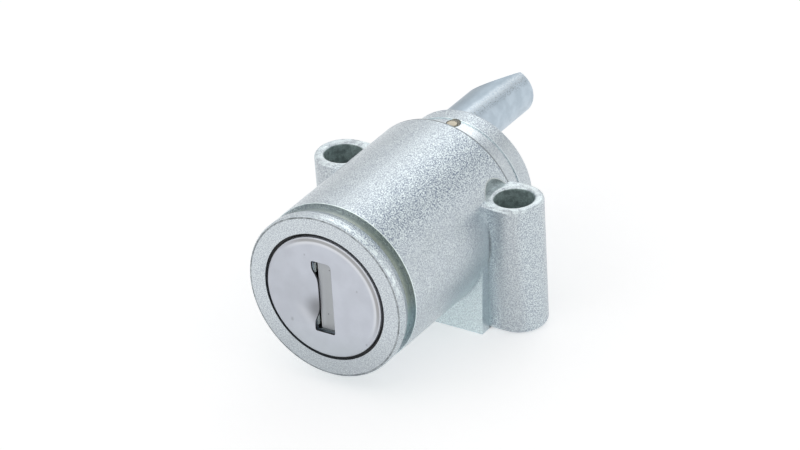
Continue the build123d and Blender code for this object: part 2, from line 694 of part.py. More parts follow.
# Bolt: riveted into the carriage by a spigot, notched for the guide pin, with a one-sided lead-in.
lead_x = cos(radians(BOLT_ANGLE))
lead_z = sin(radians(BOLT_ANGLE))
with BuildPart() as bolt:
    with BuildSketch(across(FLOOR_FRONT)):
        with Locations(BOLT_CENTRE):
            Circle(SPIGOT_R)
    extrude(amount=-CARRIAGE_FLOOR)
    with BuildSketch(across(CARRIAGE_REAR)):
        with Locations(BOLT_CENTRE):
            Circle(BOLT_R)
    extrude(amount=-(BOLT_TIP - CARRIAGE_REAR))
    lead_plane = Plane(
        origin=(BOLT_CENTRE[0], -HOLE_STATION, AXIS_HEIGHT + BOLT_CENTRE[1]),
        x_dir=(0, 1, 0),
        z_dir=(lead_z, 0, -lead_x),
    )
    with BuildSketch(lead_plane):
        Polygon(
            (BOLT_TIP - BOLT_TAPER_LENGTH, BOLT_R),
            (BOLT_TIP, BOLT_R - BOLT_TAPER_DEPTH),
            (BOLT_TIP + CUT_PAST, BOLT_R - BOLT_TAPER_DEPTH),
            (BOLT_TIP + CUT_PAST, BOLT_R + CUT_PAST),
            (BOLT_TIP - BOLT_TAPER_LENGTH, BOLT_R + CUT_PAST),
            align=None,
        )
    extrude(amount=BOLT_R, both=True, mode=Mode.SUBTRACT)
    fillet(bolt.edges().group_by(Axis.Y)[-1], BOLT_TIP_ROUND)
    with BuildSketch(level(0)):
        notch_centre = GUIDE_PIN_STATION + TRAVEL / 2
        with Locations((0, notch_centre)):
            SlotCenterToCenter(TRAVEL, 2 * (GUIDE_PIN_R + GUIDE_NOTCH_CLEARANCE), rotation=90)
    extrude(amount=NECK_R, mode=Mode.SUBTRACT)
save(bolt.part, "bolt")

# Bolt spring: pushes the carriage to the rear, between the circlip and the carriage's floor.
spring_start = CLIP_START + CLIP_THICKNESS
spring_height = FLOOR_FRONT - spring_start - SPRING_WIRE
spring_pitch = spring_height / SPRING_TURNS
spring_base = Plane(
    origin=(0, spring_start + SPRING_WIRE / 2 - HOLE_STATION, AXIS_HEIGHT),
    x_dir=(1, 0, 0),
    z_dir=(0, 1, 0),
)
with BuildPart() as bolt_spring:
    with BuildLine() as spring_line:
        for start, end, tangent in coil_arcs(spring_base, SPRING_R, spring_pitch, SPRING_TURNS):
            TangentArc(start, end, tangent=tangent)
    with BuildSketch(Plane(origin=spring_line.line @ 0, z_dir=spring_line.line % 0)):
        Circle(SPRING_WIRE / 2)
    sweep(path=spring_line.wires()[0])
save(bolt_spring.part, "bolt_spring")

print(f"Bolt spring: least gap to itself {least_gap(SPRING_R, spring_pitch, SPRING_TURNS, SPRING_WIRE):.2f} mm")
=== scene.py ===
"""Looks of the battery lock: finishes, formed key cap, springs, studio and camera."""

import json
import logging
import math
from dataclasses import dataclass, field
from enum import Enum

import bmesh
import bpy
from mathutils import Matrix, Vector


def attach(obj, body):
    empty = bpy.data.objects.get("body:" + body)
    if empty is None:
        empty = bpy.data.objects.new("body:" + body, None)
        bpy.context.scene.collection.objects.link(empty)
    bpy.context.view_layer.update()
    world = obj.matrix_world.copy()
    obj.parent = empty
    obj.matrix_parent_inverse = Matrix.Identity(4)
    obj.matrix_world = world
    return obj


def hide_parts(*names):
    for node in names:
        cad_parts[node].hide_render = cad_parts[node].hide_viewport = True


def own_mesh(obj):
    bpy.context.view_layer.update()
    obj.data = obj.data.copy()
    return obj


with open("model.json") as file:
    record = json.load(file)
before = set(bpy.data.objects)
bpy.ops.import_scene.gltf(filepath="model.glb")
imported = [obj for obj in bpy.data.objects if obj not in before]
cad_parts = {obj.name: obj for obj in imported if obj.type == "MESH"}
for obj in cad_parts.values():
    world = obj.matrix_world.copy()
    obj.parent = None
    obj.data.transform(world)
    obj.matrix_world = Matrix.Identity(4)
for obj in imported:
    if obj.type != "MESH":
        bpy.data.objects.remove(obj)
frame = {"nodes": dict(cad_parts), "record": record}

log = logging.getLogger("battery_lock")

Socket = bpy.types.NodeSocket
Colour = tuple[float, float, float]
Triple = tuple[float, float, float]
Band = tuple[float, float]
Material = bpy.types.Material

MM = 0.001
DEGREE = math.pi / 180

# Places in the row frame, in millimetres: a station is a distance behind the housing's key face.
HOLE_STATION = 24.2
AXIS_HEIGHT = 12.8
BARREL_R = 11.0
HOLE_X = 12.5
BOSS_HEIGHT = 17.7


class Slot(Enum):
    """The record's material slots."""

    ZINC = "zinc_casting"
    CAP = "stainless_cap"
    BOLT = "plated_bolt"
    SPRING = "spring_steel"
    BRASS = "brass"
    RUBBER = "black_rubber"
    SHUTTER = "shutter_steel"


class Body(Enum):
    """The CAD bodies that pieces of this scene ride on."""

    ROOT = "root"
    PLUG = "plug"


def at(x: float, station: float, height: float) -> Vector:
    """Point in metres from millimetres across, behind the key face and above the lock axis."""
    return Vector((x, station - HOLE_STATION, height + AXIS_HEIGHT)) * MM


@dataclass(frozen=True)
class Fade:
    """A smooth step: start up to low, end from high on."""

    low: float
    high: float
    start: float = 0.0
    end: float = 1.0

    def to(self, start: float, end: float) -> "Fade":
        """The same step between other ends."""
        return Fade(self.low, self.high, start, end)


# The middle of a noise's range.
SOFT = Fade(0.3, 0.7)
MEDIUM = Fade(0.35, 0.65)


class Graph:
    """A material's node tree, with short calls for the nodes that the finishes share."""

    def __init__(self, name: str) -> None:
        """Start an empty material.

        Args:
            name: The material's name.
        """
        self.material = bpy.data.materials.new(name)
        self.material.use_nodes = True
        self.tree = self.material.node_tree
        self.tree.nodes.clear()
        self.output = self.tree.nodes.new("ShaderNodeOutputMaterial")
        self.shader = self.tree.nodes.new("ShaderNodeBsdfPrincipled")
        self.tree.links.new(self.shader.outputs[0], self.output.inputs[0])
        self.position = self.tree.nodes.new("ShaderNodeTexCoord").outputs["Object"]

    def feed(self, socket: Socket, value: object) -> None:
        """Link an input to another socket, or set it to a plain value."""
        if isinstance(value, Socket):
            self.tree.links.new(value, socket)
        else:
            socket.default_value = value

    def set(self, name: str, value: object) -> None:
        """Set one of the shader's inputs."""
        self.feed(self.shader.inputs[name], value)

    def math(self, operation: str, *values: object) -> Socket:
        """Add a math node.

        Args:
            operation: The node's operation.
            values: Its inputs, numbers or sockets.

        Returns:
            The result's socket.
        """
        node = self.tree.nodes.new("ShaderNodeMath")
        node.operation = operation
        for socket, value in zip(node.inputs, values):
            self.feed(socket, value)
        return node.outputs[0]

    def axes(self) -> list[Socket]:
        """X, Y and Z of the point on the piece, in metres."""
        node = self.tree.nodes.new("ShaderNodeSeparateXYZ")
        self.tree.links.new(self.position, node.inputs[0])
        return list(node.outputs)

    def distance(self, centre: Vector, stretch: Triple = (1, 1, 1)) -> Socket:
        """Distance of the point on the piece from a centre, in metres.

        Args:
            centre: The centre, in metres.
            stretch: Weights of the three directions; 0 leaves a direction out.

        Returns:
            The distance's socket.
        """
        mapping = self.tree.nodes.new("ShaderNodeMapping")
        mapping.inputs["Location"].default_value = [-c * s for c, s in zip(centre, stretch)]
        mapping.inputs["Scale"].default_value = stretch
        self.tree.links.new(self.position, mapping.inputs["Vector"])
        length = self.tree.nodes.new("ShaderNodeVectorMath")
        length.operation = "LENGTH"
        self.tree.links.new(mapping.outputs[0], length.inputs[0])
        return length.outputs["Value"]

    def hypot(self, first: Socket, second: Socket) -> Socket:
        """Length over two sides at right angles."""
        squares = [self.math("POWER", side, 2.0) for side in (first, second)]
        return self.math("SQRT", self.math("ADD", *squares))

    def away(self, value: Socket, size: float) -> Socket:
        """How far a value in metres is from a size in mm."""
        return self.math("ABSOLUTE", self.math("SUBTRACT", value, size * MM))

    def noise(
        self, size_mm: float, detail: float = 2.0, rough: float = 0.5, stretch: Triple = (1, 1, 1)
    ) -> Socket:
        """Noise of a real feature size.

        Args:
            size_mm: Size of a feature.
            detail: Octaves of finer noise.
            rough: Share of the finer noise.
            stretch: Scale of each direction.

        Returns:
            The noise's factor, around 0.5.
        """
        mapping = self.tree.nodes.new("ShaderNodeMapping")
        mapping.inputs["Scale"].default_value = stretch
        self.tree.links.new(self.position, mapping.inputs["Vector"])
        node = self.tree.nodes.new("ShaderNodeTexNoise")
        node.inputs["Scale"].default_value = 1 / (size_mm * MM)
        node.inputs["Detail"].default_value = detail
        node.inputs["Roughness"].default_value = rough
        self.tree.links.new(mapping.outputs[0], node.inputs["Vector"])
        return node.outputs["Fac"]

    def ramp(self, value: Socket, fade: Fade, unit: float = 1.0) -> Socket:
        """Smooth step of a value.

        Args:
            value: The value: a plain one, metres or radians.
            fade: The step.
            unit: Unit of its low and high: MM for sizes, DEGREE for angles.

        Returns:
            The step's socket.
        """
        node = self.tree.nodes.new("ShaderNodeMapRange")
        node.interpolation_type = "SMOOTHSTEP"
        node.inputs["From Min"].default_value = fade.low * unit
        node.inputs["From Max"].default_value = fade.high * unit
        node.inputs["To Min"].default_value = fade.start
        node.inputs["To Max"].default_value = fade.end
        self.tree.links.new(value, node.inputs["Value"])
        return node.outputs["Result"]

    def between(self, value: Socket, band: Band) -> Socket:
        """1 where a value in metres lies within a band in mm, 0 elsewhere."""
        above = self.math("GREATER_THAN", value, band[0] * MM)
        return self.all_of(above, self.math("LESS_THAN", value, band[1] * MM))

    def all_of(self, *shares: Socket | float) -> Socket:
        """Product of several shares, a socket first."""
        result = shares[0]
        for share in shares[1:]:
            result = self.math("MULTIPLY", result, share)
        return result

    def mix(self, share: Socket, first: object, second: object) -> Socket:
        """Mix two colours, each an (r, g, b) or a socket."""
        node = self.tree.nodes.new("ShaderNodeMix")
        node.data_type = "RGBA"
        self.tree.links.new(share, node.inputs[0])
        for socket, value in ((node.inputs[6], first), (node.inputs[7], second)):
            self.feed(socket, value if isinstance(value, Socket) else (*value, 1.0))
        return node.outputs[2]

    def bump(
        self, height: Socket, depth_mm: float, strength: float, under: Socket | None = None
    ) -> Socket:
        """Bump node of a real depth, on top of another bump if one is given."""
        node = self.tree.nodes.new("ShaderNodeBump")
        node.inputs["Strength"].default_value = strength
        node.inputs["Distance"].default_value = depth_mm * MM
        self.tree.links.new(height, node.inputs["Height"])
        if under is not None:
            self.tree.links.new(under, node.inputs["Normal"])
        return node.outputs["Normal"]


@dataclass(frozen=True)
class Paint:
    """A colour of a finish, by its name, laid with a share where all limits are met.

    A limit names a measure of the graph. A band is in mm; a fade is in mm, or in degrees for an
    angle, and is plain for a noise.
    """

    colour: str
    share: float
    where: tuple[tuple[str, Band | Fade], ...]


class PlaceGraph(Graph):
    """A node tree with measures of where a point lies, in metres and radians.

    Attributes:
        x, y, z: The point in the row frame.
        station: Distance behind the key face.
        height: Height over the lock axis.
        radius: Distance from the lock axis.
        turn: Angle round it, 0 at the right and 90 degrees at the top.
    """

    UNITS = {"turn": DEGREE, "grain": 1.0, "blotch": 1.0, "line_breaks": 1.0}

    def __init__(self, name: str) -> None:
        """Start the material and find the measures."""
        super().__init__(name)
        self.x, self.y, self.z = self.axes()
        self.station = self.math("ADD", self.y, HOLE_STATION * MM)
        self.height = self.math("SUBTRACT", self.z, AXIS_HEIGHT * MM)
        self.radius = self.distance(at(0, 0, 0), (1, 0, 1))
        self.turn = self.math("ARCTAN2", self.height, self.x)

    def met(self, where: tuple[tuple[str, Band | Fade], ...]) -> Socket:
        """How far all limits are met, from 0 to 1."""
        shares = []
        for measure, limit in where:
            value = getattr(self, measure)
            if isinstance(limit, Fade):
                shares.append(self.ramp(value, limit, self.UNITS.get(measure, MM)))
            else:
                shares.append(self.between(value, limit))
        return self.all_of(*shares)

    def laid(self, colour: Socket, paint: Paint, tone: object) -> Socket:
        """A colour with a paint of one tone laid over it."""
        return self.mix(self.all_of(self.met(paint.where), paint.share), colour, tone)


class CastingGraph(PlaceGraph):
    """The casting's node tree, with its noises and the measures that only it needs.

    Attributes:
        side: Distance from the middle plane.
        to_hole: Distance from the nearer screw hole's axis.
        off_wall, off_round: Distance from the barrel's wall and from the boss's.
        off_corner: Distance from the corner line of boss and block, which leans with the draft.
        to_pin: Distance from the axis of the guide pin's mouth.
        from_middle: Distance above or below the keyway's middle.
    """

    BOSS_R = 3.8
    CORNER_FOOT = (10.05, 3.08)
    CORNER_LEAN = (0.056, 0.0242)
    PIN = (0.22, 30.15)
    KEYWAY_MIDDLE = -0.1

    def __init__(self, name: str, grain_mm: float) -> None:
        """Start the material and find the measures."""
        super().__init__(name)
        self.grain = self.noise(grain_mm, detail=2.0, rough=0.7)
        self.cloud = self.noise(2.4, detail=3.0)
        self.blotch = self.noise(0.7, detail=2.0)
        self.line_breaks = self.noise(0.9, detail=3.0, rough=0.7)
        self.side = self.math("ABSOLUTE", self.x)
        self.to_hole = self.hypot(self.math("SUBTRACT", self.side, HOLE_X * MM), self.y)
        self.off_wall = self.away(self.radius, BARREL_R)
        self.off_round = self.away(self.to_hole, self.BOSS_R)
        across, depth = (
            self.math("MULTIPLY_ADD", self.z, lean, foot * MM)
            for lean, foot in zip(self.CORNER_LEAN, self.CORNER_FOOT)
        )
        self.off_corner = self.hypot(
            self.math("SUBTRACT", self.side, across), self.math("ADD", self.y, depth)
        )
        self.to_pin = self.distance(at(*self.PIN, 0), (1, 1, 0))
        self.from_middle = self.away(self.height, self.KEYWAY_MIDDLE)


# Limits that several paints share; FAR stands for no limit on that side.
FAR = 1000.0
OFF_BOSS = ("to_hole", (4.1, FAR))
ON_BOSS = ("to_hole", (-FAR, 4.1))
BEFORE_HOLES = ("y", (-FAR, 0.0))
ON_FACE = ("station", (-FAR, 0.1))
ON_BARREL = (("radius", (BARREL_R - 0.35, BARREL_R + 0.03)), ("station", (0.1, 27.3)))
ON_COLLAR = ("station", (27.4, FAR))
IN_HOLE = (("to_hole", (-FAR, 2.58)), ("z", (-FAR, BOSS_HEIGHT - 0.25)))
NECK = (("station", (27.3, 30.88)), ("radius", (-FAR, 9.3)))
PIN_MOUTH = (
    ("to_pin", (-FAR, 0.99)), ("height", (8.3, FAR)), ("x", (-FAR, 0.62)), ("radius", (-FAR, 9.26)),
)
KEYWAY = (("station", (0.3, 14.0)), ("radius", (-FAR, 8.1)))

# Paints of the casting, in the order in which they are laid.
ZINC_PAINTS = (
    # Painted light in the hollow by the boss, the paler key face and painted shade on its lower
    # part, the flank's greenish tint with painted light, the bosses with a painted shade band on
    # their fronts, and painted light on the block's front.
    Paint("nook_painted_light", 1.0, (
        OFF_BOSS, BEFORE_HOLES, ("to_hole", Fade(4.1, 7.0, 0.4, 0.0)),
        ("height", Fade(-5, 0)), ("height", Fade(2, 6, 1.0, 0.0)),
    )),
    Paint("face", 0.34, (ON_FACE,)),
    Paint("seam", 1.0, (ON_FACE, ("height", Fade(-11, -1, 0.32, 0.0)))),
    Paint("green", 1.0, (OFF_BOSS, ("height", Fade(-3, 3, 0.42, 0.0)), ("station", Fade(10, 19)))),
    Paint("boss", 0.35, (ON_BOSS,)),
    Paint("lilac_painted_shade", 0.35 * 0.9, (
        ON_BOSS, ("side", Fade(11.2, 12.4)), ("side", Fade(14.2, 15.4, 1.0, 0.0)),
    )),
    Paint("light", 0.55, (
        OFF_BOSS, ("radius", (BARREL_R + 0.25, FAR)), ("z", (-FAR, 11.0)), ("station", (18.9, 19.3)),
    )),
    # Painted shade lines in the corner of boss and block, and where the boss meets the barrel.
    Paint("seam", 1.0, (("off_corner", Fade(0.15, 0.5, 0.8, 0.0)), ("z", (-FAR, 12.0)))),
    Paint("seam", 1.0, (
        BEFORE_HOLES,
        ("off_wall", Fade(0.08, 0.34, 1.0, 0.0)), ("off_round", Fade(0.08, 0.34, 1.0, 0.0)),
        ("height", Fade(-4.5, -3.0, 0.0, 0.75)), ("height", Fade(2.4, 3.6, 1.0, 0.0)),
    )),
    # Painted shade on the groove's floor, lighter at the top and bluer at the right, and a painted
    # highlight on its rear edge.
    Paint("shade", 1.0, (
        ("station", (2.09, 3.49)), ("radius", (BARREL_R - 0.7, BARREL_R - 0.31)),
    )),
    Paint("pale", 1.0, (("station", (3.47, 3.62)), ("radius", (10.93, 11.05)))),
    # The key face's edge: a painted shade line broken up by noise, and painted highlight patches
    # behind it on its upper side.
    Paint("seam", 1.0, (
        ("station", (-0.05, 0.2)), ("radius", (10.64, 10.85)), ("line_breaks", Fade(0.36, 0.6, 1.0, 0.5)),
    )),
    Paint("pale", 1.0, (
        ("station", (0.2, 0.8)), ("radius", (10.8, FAR)), ("turn", Fade(5, 25)),
        ("turn", Fade(80, 100, 1.0, 0.0)), ("blotch", Fade(0.4, 0.62, 0.15, 0.8)),
    )),
    # A painted highlight on the screw holes' lips, their dark walls, and the scallops over the
    # bosses.
    Paint("pale", 1.0, (
        ("z", (BOSS_HEIGHT - 0.3, BOSS_HEIGHT + 0.02)), ("to_hole", (2.5, 3.8)),
        ("blotch", Fade(0.35, 0.6, 0.0, 0.45)),
    )),
    Paint("wall", 1.0, IN_HOLE),
    Paint("groove_light", 0.55, (("z", (BOSS_HEIGHT + 0.02, FAR)), ("to_hole", (-FAR, 3.6)))),
    # A painted highlight by angle on the neck and on the step behind it, a painted shade line on
    # the barrel's rear edge, and painted light in the pin's mouth.
    Paint("painted_neck_highlight", 1.0, (
        *NECK, ("turn", Fade(58, 72, 0.05, 0.6)), ("turn", Fade(80, 94, 1.0, 0.3)),
    )),
    Paint("pale", 1.0, (
        ("station", (30.82, 31.06)), ("radius", (9.2, 9.45)), ("turn", Fade(60, 80, 0.3, 0.6)),
    )),
    Paint("seam", 0.75, (("station", (26.98, 27.4)), ("radius", (10.6, BARREL_R + 0.02)))),
    Paint("mouth", 1.0, PIN_MOUTH),
    # The keyway painted near-black as shade, a painted glint on its left wall and the grey sill
    # under the shutter.
    Paint("keyway_painted_shade", 1.0, KEYWAY),
    Paint("pale", 1.0, (
        ("station", (0.2, 0.72)), ("x", (-1.6, -1.2)), ("from_middle", (3.0, 4.35)),
    )),
    Paint("boss", 1.0, (("station", (0.2, 1.8)), ("x", (-0.95, 1.6)), ("height", (-5.6, -4.2)))),
)


@dataclass(frozen=True)
class CastZinc:
    """Zinc-plated die casting: sandy grain, painted sparkle, light and shade, darker in groove, holes
    and scallops.
    """

    pale: Colour = (0.89, 0.99, 1.0)
    deep: Colour = (0.15, 0.19, 0.285)
    even: Colour = (0.525, 0.568, 0.60)
    # Greenish tint with painted light, on the lower flank and the block's front.
    green: Colour = (0.60, 0.70, 0.72)
    # Colours of the painted shade on the groove's floor; groove_light also tints clouds and scallops.
    groove_dark: Colour = (0.25, 0.29, 0.245)
    groove_light: Colour = (0.43, 0.47, 0.445)
    groove_blue: Colour = (0.28, 0.40, 0.41)
    hole: Colour = (0.62, 0.76, 0.75)
    # Near-black painted shade inside the keyway.
    keyway_painted_shade: Colour = (0.02, 0.022, 0.025)
    # Painted highlight on the neck.
    painted_neck_highlight: Colour = (0.88, 0.93, 0.96)
    # Painted shade: the key face's lower part, and dark lines in corners and along edges.
    seam: Colour = (0.17, 0.19, 0.20)
    dark_hole: Colour = (0.26, 0.33, 0.33)
    boss: Colour = (0.50, 0.55, 0.575)
    # Painted shade band on the bosses' fronts.
    lilac_painted_shade: Colour = (0.40, 0.41, 0.43)
    # Painted light in the hollow by the boss.
    nook_painted_light: Colour = (0.84, 0.90, 0.92)
    face: Colour = (0.66, 0.69, 0.72)
    # Painted light in the guide pin's mouth.
    mouth: Colour = (0.84, 0.83, 0.78)
    grain_mm: float = 0.145
    grain_depth_mm: float = 0.025
    grain_cut: Fade = Fade(0.4, 0.6)
    # Contrast of the grain: elsewhere, on the barrel and collar by angle as painted sparkle, and more
    # on the bosses.
    plain_grain: float = 0.5
    painted_sparkle_rise: Fade = Fade(28, 54, 0.4, 0.92)
    painted_sparkle_fall: Fade = Fade(60, 84, 0.0, 0.42)
    collar_painted_sparkle: Fade = Fade(40, 66, -0.25, 0.12)
    boss_grain: float = 0.22

    def sandy(self, graph: CastingGraph) -> Socket:
        """The grain: specks where sparkle is painted by angle, an even grey where it isn't."""
        lit = graph.ramp(graph.turn, self.painted_sparkle_rise, DEGREE)
        band = graph.math("SUBTRACT", lit, graph.ramp(graph.turn, self.painted_sparkle_fall, DEGREE))
        change = graph.math("SUBTRACT", band, self.plain_grain)
        sparkle = graph.math("ADD", graph.all_of(graph.met(ON_BARREL), change), self.plain_grain)
        collar = graph.met((ON_COLLAR, ("turn", self.collar_painted_sparkle)))
        for more in (collar, graph.all_of(graph.met((ON_BOSS,)), self.boss_grain)):
            sparkle = graph.math("ADD", sparkle, more)
        specks = graph.mix(graph.ramp(graph.grain, self.grain_cut), self.deep, self.pale)
        cloud = graph.ramp(graph.cloud, MEDIUM.to(0.0, 0.16))
        return graph.mix(sparkle, graph.mix(cloud, self.even, self.groove_light), specks)

    def mixed(self, graph: CastingGraph) -> dict[str, Socket]:
        """Tones of the paints that aren't one plain colour: block front's painted light, groove
        floor's painted shade, hole wall.
        """
        top = graph.ramp(graph.turn, Fade(50, 100), DEGREE)
        right = graph.ramp(graph.turn, Fade(-12, 8), DEGREE)
        shade = graph.mix(top, self.groove_dark, self.groove_light)
        shade = graph.mix(right, self.groove_blue, shade)
        sand = graph.all_of(graph.ramp(graph.grain, self.grain_cut), 0.22)
        wall = graph.mix(graph.ramp(graph.blotch, MEDIUM), self.dark_hole, self.hole)
        return {
            "light": graph.mix(graph.ramp(graph.grain, Fade(0.38, 0.6)), self.green, self.pale),
            "shade": graph.mix(sand, shade, self.even),
            "wall": graph.mix(graph.ramp(graph.grain, MEDIUM.to(0.2, 1.0)), self.dark_hole, wall),
        }

    def material(self) -> Material:
        """Build the material."""
        graph = CastingGraph("zinc_casting", self.grain_mm)
        colour = self.sandy(graph)
        mixed = self.mixed(graph)
        for paint in ZINC_PAINTS:
            name = paint.colour
            tone = mixed[name] if name in mixed else getattr(self, name)
            colour = graph.laid(colour, paint, tone)
        graph.set("Base Color", colour)
        in_hole, inside, mouth = (graph.met(where) for where in (IN_HOLE, KEYWAY, PIN_MOUTH))
        dull = graph.math("MAXIMUM", graph.math("MAXIMUM", in_hole, inside), mouth)
        graph.set("Metallic", graph.math("SUBTRACT", 1.0, graph.all_of(dull, 0.8)))
        graph.set("Roughness", graph.ramp(graph.grain, SOFT.to(0.36, 0.26)))
        turned = graph.noise(0.25, detail=2.0, stretch=(0.1, 2.0, 0.1))
        neck = graph.met(NECK)
        calm = graph.math("SUBTRACT", 1.0, graph.all_of(neck, 0.5))
        heights = graph.math("ADD", graph.all_of(graph.grain, calm), graph.all_of(turned, neck, 0.3))
        coarse = graph.bump(graph.blotch, 0.03, 0.5)
        graph.set("Normal", graph.bump(heights, self.grain_depth_mm, 1.0, coarse))
        return graph.material


@dataclass(frozen=True)
class SatinSteel:
    """Satin sheet steel with a very fine grain."""

    name: str
    colour: Colour
    roughness: float = 0.38
    metallic: float = 0.85

    def sheen(self, graph: PlaceGraph) -> Socket | float:
        """How metallic the sheet is."""
        return self.metallic

    def tone(self, graph: PlaceGraph) -> Socket:
        """The sheet's colour, with soft clouds."""
        cloud = graph.noise(2.2, detail=3.0)
        darker = tuple(channel * 0.93 for channel in self.colour)
        return graph.mix(graph.ramp(cloud, SOFT), darker, self.colour)

    def material(self) -> Material:
        """Build the material."""
        graph = PlaceGraph(self.name)
        fine = graph.noise(0.06, detail=1.0)
        graph.set("Base Color", self.tone(graph))
        graph.set("Metallic", self.sheen(graph))
        rough = SOFT.to(self.roughness - 0.05, self.roughness + 0.07)
        graph.set("Roughness", graph.ramp(fine, rough))
        graph.set("Normal", graph.bump(fine, 0.002, 0.5))
        return graph.material


# Paints of the cap: painted shade on the left side and toward the bottom, and painted
# highlight and shade on the rim's crest, roll and outer edge.
UPPER_RIM = (("turn", Fade(-40, 5)), ("turn", Fade(105, 140, 1.0, 0.0)))
CAP_PAINTS = (
    Paint("shade", 1.0, (("x", Fade(-8, 0, 0.16, 0.0)),)),
    Paint("low", 1.0, (("height", Fade(-8.5, -2.5, 0.3, 0.0)),)),
)
RIM_PAINTS = (
    Paint("shine", 0.42, (
        ("radius", Fade(7.2, 7.62)), ("radius", Fade(7.68, 7.9, 1.0, 0.0)), *UPPER_RIM,
    )),
    Paint("rim_shade", 0.8, (
        ("radius", Fade(7.62, 7.86)), ("radius", Fade(8.02, 8.14, 1.0, 0.0)), *UPPER_RIM,
    )),
    Paint("shine", 0.3, (("radius", (8.08, 8.3)),)),
)


@dataclass(frozen=True)
class CapSteel(SatinSteel):
    """The cap's satin steel: painted shade and highlights on rim, dent and crease, and smudge marks.
    """

    # Painted shade on the left side and in the dent; also the colour of the smudge marks.
    shade: Colour = (0.26, 0.27, 0.29)
    # Painted shade toward the bottom, a little greener.
    low: Colour = (0.37, 0.43, 0.42)
    # Painted highlight on the rim and along the crease.
    shine: Colour = (0.90, 0.91, 0.93)
    # Painted shade on the rim's roll.
    rim_shade: Colour = (0.33, 0.33, 0.325)
    # Painted shade of the dent, then dark smudge marks, all in the shade colour: x, height, half
    # width and half height in mm, share.
    ovals: tuple[tuple[float, ...], ...] = (
        (-1.05, -1.9, 2.2, 2.8, 1.0),
        (-3.2, -0.8, 3.0, 4.4, 0.18),
        (-2.25, 5.57, 0.18, 0.18 * 1.3, 0.5),
        (-4.74, -4.15, 0.32, 0.32 * 1.3, 0.5),
        (5.09, 2.28, 0.2, 0.2 * 1.3, 0.5),
        (5.98, -5.0, 0.22, 0.22 * 1.3, 0.5),
    )
    # A painted highlight along the crease that runs out of the dent.
    crease: Band = (-2.7, -2.9)
    crease_angle: float = -48.0
    crease_share: float = 0.15

    def spot(self, graph: Graph, x: float, height: float, wide: float, high: float) -> Socket:
        """1 at a place on the cap's face, falling to 0 at an oval's edge."""
        centre = Vector((x, 0, height + AXIS_HEIGHT)) * MM
        away = graph.distance(centre, (1 / wide, 0, 1 / high))
        return graph.ramp(away, Fade(0.1, 1.0, 1.0, 0.0), MM)

    def fold(self, graph: PlaceGraph) -> Socket:
        """1 on the crease's painted highlight, which runs out of the dent, 0 away from it."""
        angle = math.radians(self.crease_angle)
        cos, sin = math.cos(angle), math.sin(angle)
        from_x = graph.math("SUBTRACT", graph.x, self.crease[0] * MM)
        from_z = graph.math("SUBTRACT", graph.height, self.crease[1] * MM)
        along = graph.math("ADD", graph.all_of(from_x, cos), graph.all_of(from_z, sin))
        across = graph.math("SUBTRACT", graph.all_of(from_z, cos), graph.all_of(from_x, sin))
        return graph.all_of(
            graph.ramp(graph.away(along, 0), Fade(0.2, 2.6, 1.0, 0.0), MM),
            graph.ramp(graph.away(across, 0), Fade(0.0, 1.1, 1.0, 0.0), MM),
        )

    def tone(self, graph: PlaceGraph) -> Socket:
        """The cap's colour, with its painted shade and highlights."""
        colour = super().tone(graph)
        for paint in CAP_PAINTS:
            colour = graph.laid(colour, paint, getattr(self, paint.colour))
        for *oval, share in self.ovals:
            colour = graph.mix(graph.all_of(self.spot(graph, *oval), share), colour, self.shade)
        crease = graph.all_of(self.fold(graph), self.crease_share)
        colour = graph.mix(crease, colour, self.shine)
        for paint in RIM_PAINTS:
            colour = graph.laid(colour, paint, getattr(self, paint.colour))
        return colour


@dataclass(frozen=True)
class ShutterSteel(SatinSteel):
    """The shutter's satin steel: painted highlight on its free edge, matt and painted light by the
    waist, two dark specks.
    """

    shine: Colour = (0.98, 0.98, 1.0)
    # Painted light beside the waist and along the lower end.
    near: Colour = (0.52, 0.55, 0.58)
    speck: Colour = (0.05, 0.05, 0.06)
    specks: tuple[Band, ...] = ((0.75, 3.73), (0.17, -2.56))
    # Painted highlight on the free edge.
    free_edge: Band = (-1.2, -0.86)

    def sheen(self, graph: PlaceGraph) -> Socket:
        """Less metallic where light is painted, so the cap's dark reflection doesn't blacken it."""
        return graph.math("MULTIPLY_ADD", self.painted_light_zone(graph), -0.75, self.metallic)

    def painted_light_zone(self, graph: PlaceGraph) -> Socket:
        """1 where light is painted, beside the cap's waist and along the slot's lower end, 0
        elsewhere.
        """
        beside = graph.ramp(graph.x, Fade(-0.9, 0.1, 1.0, 0.0), MM)
        return graph.math("MAXIMUM", beside, graph.ramp(graph.height, Fade(-4.9, -4, 1.0, 0.0), MM))

    def tone(self, graph: PlaceGraph) -> Socket:
        """The shutter's colour, with painted light and a painted highlight."""
        colour = graph.mix(self.painted_light_zone(graph), super().tone(graph), self.near)
        for across, height in self.specks:
            centre = Vector((across, 0, height + AXIS_HEIGHT)) * MM
            away = graph.distance(centre, (1, 0, 1))
            colour = graph.mix(graph.ramp(away, Fade(0.03, 0.1, 1.0, 0.0), MM), colour, self.speck)
        return graph.mix(graph.between(graph.x, self.free_edge), colour, self.shine)


@dataclass(frozen=True)
class Dark:
    """A dark finish without metal: the seal's rubber, and the key slot's edge, as in shadow."""

    name: str
    colour: Colour
    lighter: float
    grain_mm: float
    roughness: float
    depth_mm: float
    strength: float

    def material(self) -> Material:
        """Build the material."""
        graph = Graph(self.name)
        fine = graph.noise(self.grain_mm, detail=2.0)
        lighter = tuple(channel * self.lighter for channel in self.colour)
        graph.set("Base Color", graph.mix(graph.ramp(fine, SOFT), self.colour, lighter))
        graph.set("Roughness", self.roughness)
        graph.set("Normal", graph.bump(fine, self.depth_mm, self.strength))
        return graph.material


